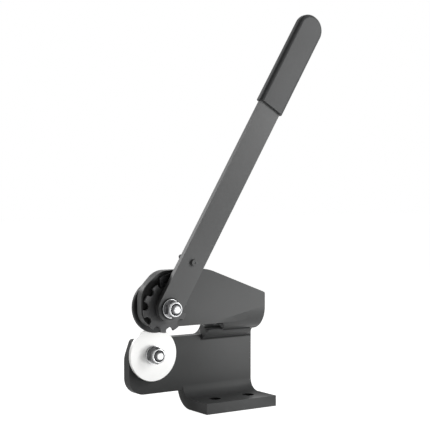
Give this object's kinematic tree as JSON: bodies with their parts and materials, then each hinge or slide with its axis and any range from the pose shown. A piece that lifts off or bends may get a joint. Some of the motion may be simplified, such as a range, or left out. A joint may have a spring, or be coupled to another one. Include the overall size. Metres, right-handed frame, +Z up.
{
  "type": "rotary sheet metal shear",
  "caption": "Bench rotary sheet metal shear with an offset bent plate frame, overlapping round blades and a long ratchet lever with a dipped grip.",
  "frame": {"origin": "midway between the two bolt holes, on the underside of the foot", "axes": "+Z up from the bench, -Y towards the user, where the lever and its nut are, +X to the user's right; the throat opens to -X"},
  "size_m": [0.2414, 0.0765, 0.4529],
  "materials": {
    "powder_coat": "dark grey satin powder coat over bent steel plate",
    "grip_vinyl": "dark grey dipped vinyl, matt",
    "black_oxide": "blackened hardened steel",
    "ground_steel": "bright ground tool steel",
    "zinc_plate": "bright zinc-plated steel",
    "spring_wire": "drawn spring wire",
    "bronze": "oiled sintered bronze"
  },
  "bodies": {
    "frame": {"frame_plate": "powder_coat", "upper_bush": "bronze", "lower_bolt": "zinc_plate", "lower_rear_washer": "zinc_plate", "lower_spacer": "zinc_plate", "lower_bush": "bronze", "lower_washer": "zinc_plate", "lower_nut": "zinc_plate"},
    "drive": {"upper_spindle": "zinc_plate", "ratchet_wheel": "black_oxide", "drive_key": "zinc_plate", "upper_blade": "black_oxide", "blade_dowels": "zinc_plate", "upper_rear_washer": "zinc_plate", "upper_rear_nut": "zinc_plate", "lever_spacer": "zinc_plate", "lever_bush": "bronze", "upper_washer": "zinc_plate", "upper_nut": "zinc_plate"},
    "lever": {"lever_arm": "powder_coat", "lever_grip": "grip_vinyl", "pawl_pin": "powder_coat", "pawl_spring": "spring_wire"},
    "pawl": {"pawl": "black_oxide"},
    "lower_blade": {"lower_blade": "ground_steel"}
  },
  "joints": [
    {"name": "lever_swing", "type": "hinge", "parent": "frame", "child": "lever", "pos_m": [-0.0907, 0, 0.119], "axis": [0, 1, 0], "range_deg": [-125, 45]},
    {"name": "drive_spin", "type": "hinge", "parent": "frame", "child": "drive", "pos_m": [-0.0907, 0, 0.119], "axis": [0, 1, 0], "range_deg": [-125, 45]},
    {"name": "pawl_lift", "type": "hinge", "parent": "lever", "child": "pawl", "pos_m": [-0.06109, 0, 0.1677], "axis": [0, 1, 0], "range_deg": [0, 9], "stiffness_Nm_per_rad": 0.02, "springref_deg": -34.38, "deforming": ["pawl_spring"]},
    {"name": "lower_blade_spin", "type": "hinge", "parent": "frame", "child": "lower_blade", "pos_m": [-0.092, 0, 0.065], "axis": [0, 1, 0], "continuous": true}
  ],
  "couplings": [
    {"joint": "drive_spin", "follows": "lever_swing", "ratio": 1}
  ]
}
